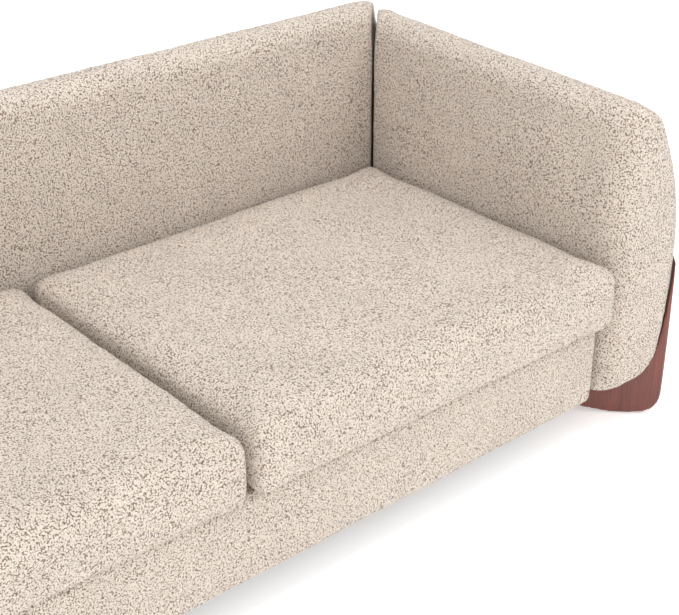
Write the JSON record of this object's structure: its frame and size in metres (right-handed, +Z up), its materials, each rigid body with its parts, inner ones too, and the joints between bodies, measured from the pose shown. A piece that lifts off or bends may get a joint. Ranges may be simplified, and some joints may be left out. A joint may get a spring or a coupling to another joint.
{
  "type": "sofa with wooden legs",
  "caption": "Upholstered sofa with barrel-shaped arms and back, loose seat cushions and diagonal wooden fin legs that wrap up round the corners.",
  "frame": {"origin": "on the floor under the centre of the sofa's box", "axes": "+X to the right as seen from the front, +Y to the back, +Z up"},
  "size_m": [2.116, 0.902, 0.728],
  "materials": {
    "boucle_fabric": "woven boucle, oatmeal with darker flecks between the loops",
    "stained_wood": "solid wood, reddish brown stain, satin",
    "foam": "polyurethane foam",
    "deck_felt": "needled felt pad",
    "lining_fabric": "black spunbonded lining",
    "zip_tape": "woven zip tape with a nylon coil",
    "glide_plastic": "moulded nylon",
    "zinc_steel": "zinc plated steel",
    "spring_steel": "oil tempered spring wire",
    "plywood": "birch plywood, unfinished",
    "frame_timber": "kiln dried pine, unfinished"
  },
  "bodies": {
    "root": {"apron_board": "plywood", "apron_cover": "boucle_fabric", "apron_foam": "foam", "back_base_board": "plywood", "back_battens": "frame_timber", "back_cover": "boucle_fabric", "back_foam": "foam", "back_ribs": "plywood", "deck_pad": "deck_felt", "dust_cover": "lining_fabric", "frame_bolts": "zinc_steel", "frame_nuts": "zinc_steel", "frame_washers": "zinc_steel", "front_left_leg": "stained_wood", "front_right_leg": "stained_wood", "left_arm_base_board": "plywood", "left_arm_battens": "frame_timber", "left_arm_cover": "boucle_fabric", "left_arm_foam": "foam", "left_arm_ribs": "plywood", "leg_bolts": "zinc_steel", "leg_glides": "glide_plastic", "leg_nuts": "zinc_steel", "leg_plates": "zinc_steel", "leg_screws": "zinc_steel", "rear_left_leg": "stained_wood", "rear_right_leg": "stained_wood", "right_arm_base_board": "plywood", "right_arm_battens": "frame_timber", "right_arm_cover": "boucle_fabric", "right_arm_foam": "foam", "right_arm_ribs": "plywood", "seat_back_board": "frame_timber", "seat_corner_blocks": "frame_timber", "seat_front_board": "frame_timber", "seat_left_board": "frame_timber", "seat_right_board": "frame_timber", "seat_springs": "spring_steel", "seat_stretcher": "frame_timber", "spring_clips": "zinc_steel"},
    "left_cushion": {"left_cushion_cover": "boucle_fabric", "left_cushion_foam": "foam", "left_cushion_zip": "zip_tape"},
    "right_cushion": {"right_cushion_cover": "boucle_fabric", "right_cushion_foam": "foam", "right_cushion_zip": "zip_tape"}
  },
  "joints": [
    {"name": "left_cushion_lift", "type": "slide", "parent": "root", "child": "left_cushion", "axis": [0, 0, 1], "range_m": [0, 0.3]},
    {"name": "right_cushion_lift", "type": "slide", "parent": "root", "child": "right_cushion", "axis": [0, 0, 1], "range_m": [0, 0.3]}
  ]
}
